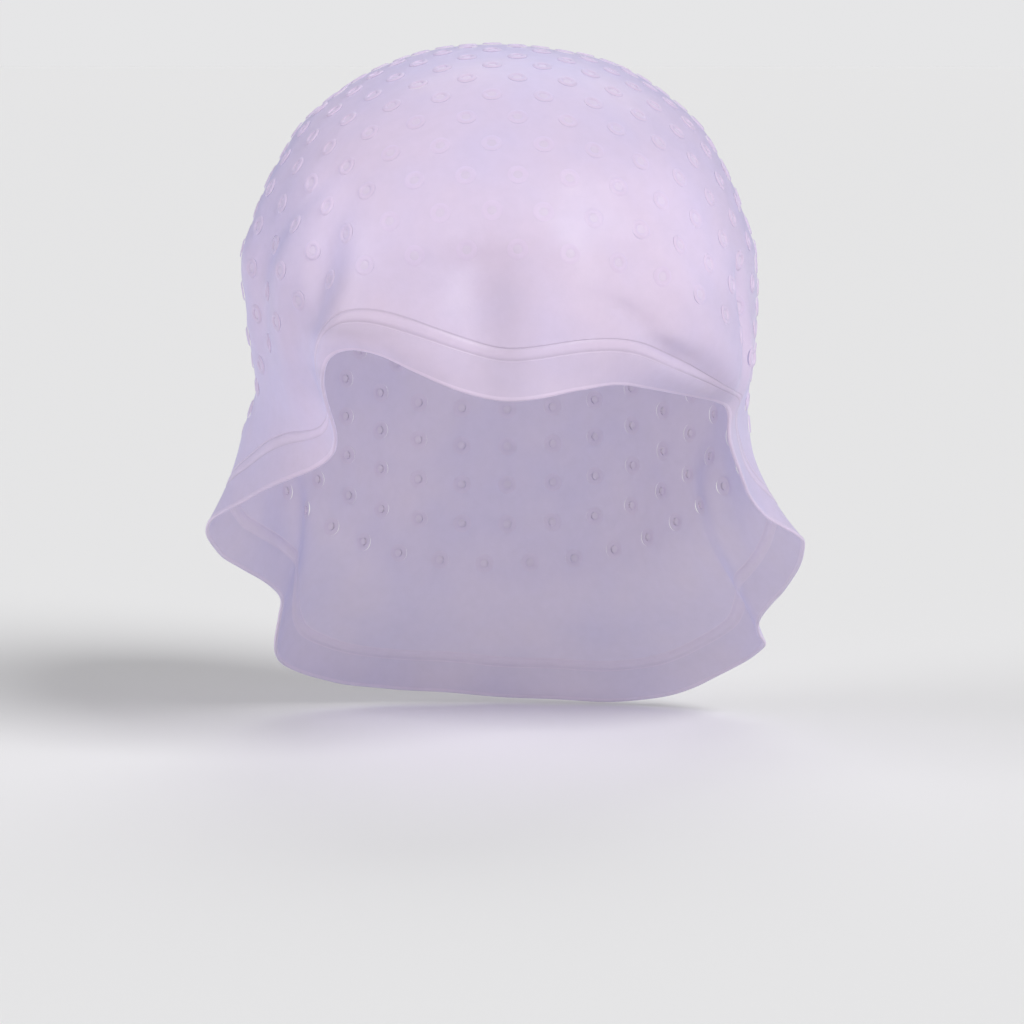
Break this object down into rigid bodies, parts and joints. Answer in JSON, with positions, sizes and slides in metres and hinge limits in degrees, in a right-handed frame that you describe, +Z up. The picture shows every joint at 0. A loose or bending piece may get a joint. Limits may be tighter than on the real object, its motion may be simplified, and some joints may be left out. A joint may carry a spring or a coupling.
{
  "type": "highlighting cap",
  "caption": "Soft pull-through cap for hair highlighting: a translucent lilac bag with rows of raised membrane ports on the crown and a loose flared skirt with a banded, lipped hem.",
  "frame": {"origin": "on the upright axis of the crown, level with the lowest point of the hem", "axes": "+Z up through the top of the crown, -Y towards the forehead (front), +X towards the wearer's left"},
  "size_m": [0.199, 0.2172, 0.2325],
  "materials": {
    "silicone_wall": "milky translucent lilac silicone, about 1 mm thick, soft satin moulded surface",
    "silicone_band": "the same silicone, smooth flat band along the hem",
    "silicone_bead": "the same silicone, thicker and so less see-through",
    "silicone_ring": "the same silicone, raised rings, slightly denser colour",
    "silicone_membrane": "the same silicone about a third of a millimetre thick, nearly clear"
  },
  "bodies": {
    "root": {"crown_shell": "silicone_wall", "skirt": "silicone_wall", "hem_bead": "silicone_bead", "hem_band": "silicone_band", "rim_lip": "silicone_bead", "port_rings": "silicone_ring", "port_membranes": "silicone_membrane"}
  },
  "joints": []
}
